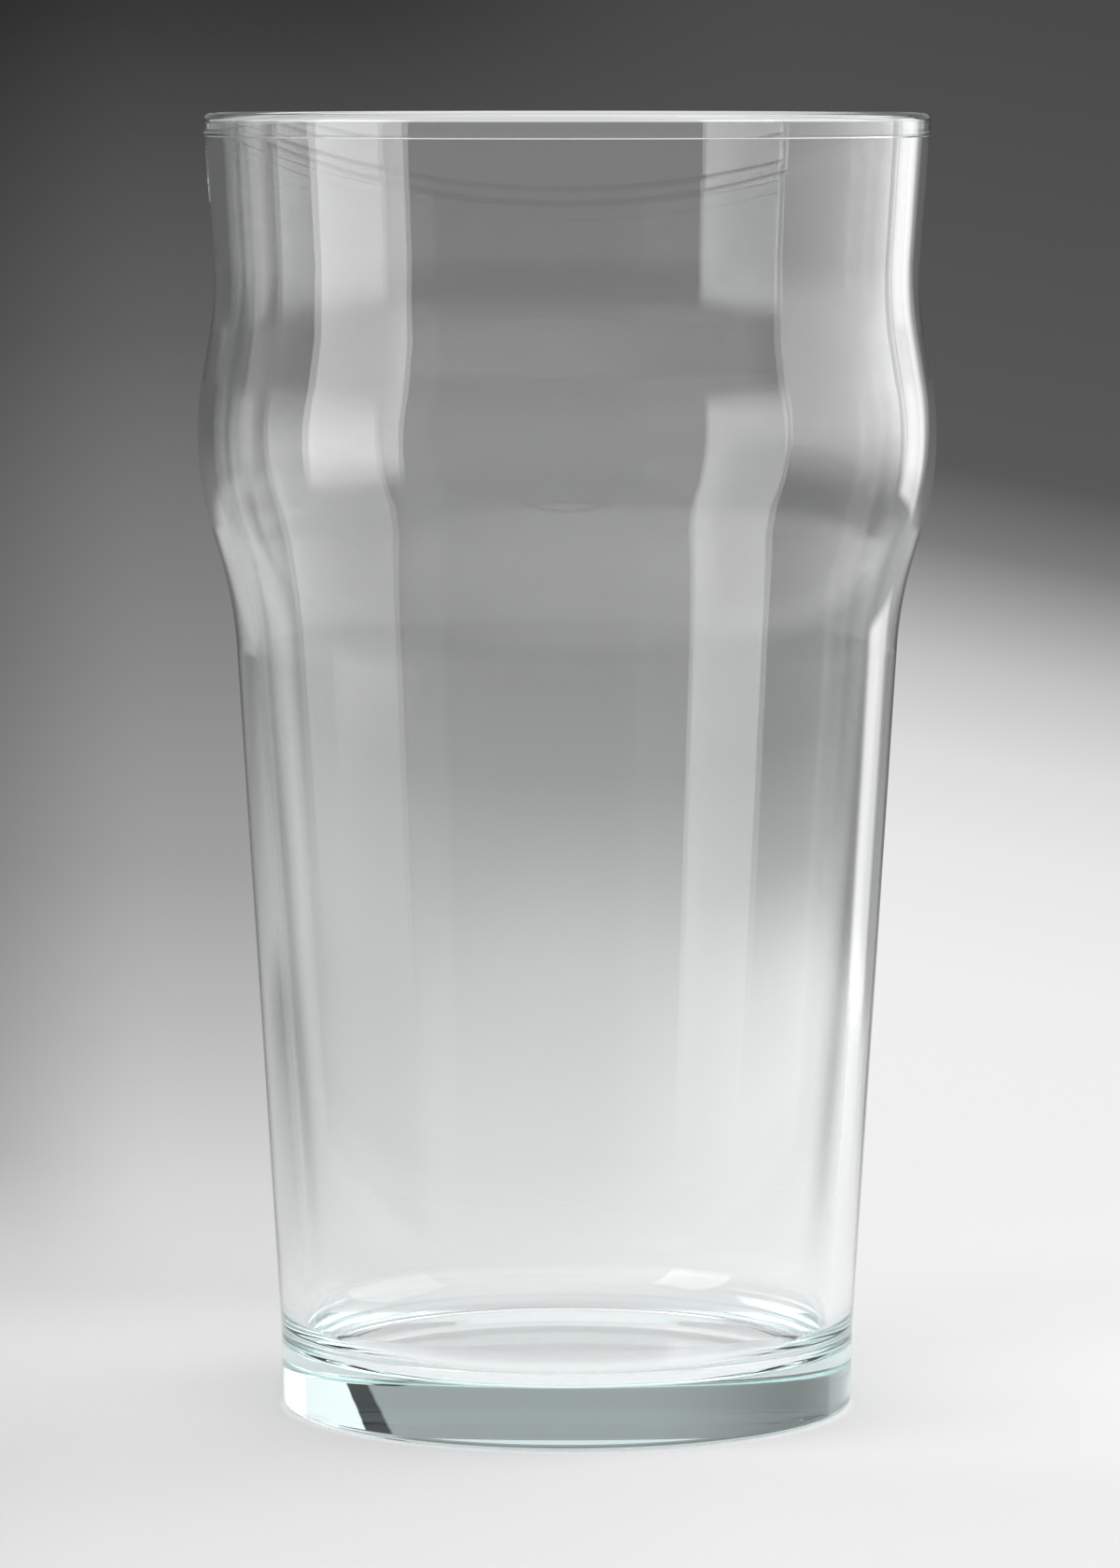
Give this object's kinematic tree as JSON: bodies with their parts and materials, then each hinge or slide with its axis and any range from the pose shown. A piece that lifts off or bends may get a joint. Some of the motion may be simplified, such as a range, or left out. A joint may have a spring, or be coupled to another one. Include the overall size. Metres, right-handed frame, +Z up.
{
  "type": "pint glass",
  "caption": "Clear nonic pint glass: a tumbler that tapers to a heavy base, with a rounded bulge below a beaded rim, for holding and drinking beer.",
  "frame": {"origin": "centre of the contact ring under the base, on the surface that the glass stands on", "axes": "+Z up along the axis of the glass, from the base to the rim; the glass is round, so X and Y are alike"},
  "size_m": [0.0852, 0.0852, 0.15],
  "materials": {
    "clear_glass": "fire-polished clear soda-lime glass, faintly green at the edges"
  },
  "bodies": {
    "root": {"pint_glass": "clear_glass"}
  },
  "joints": []
}
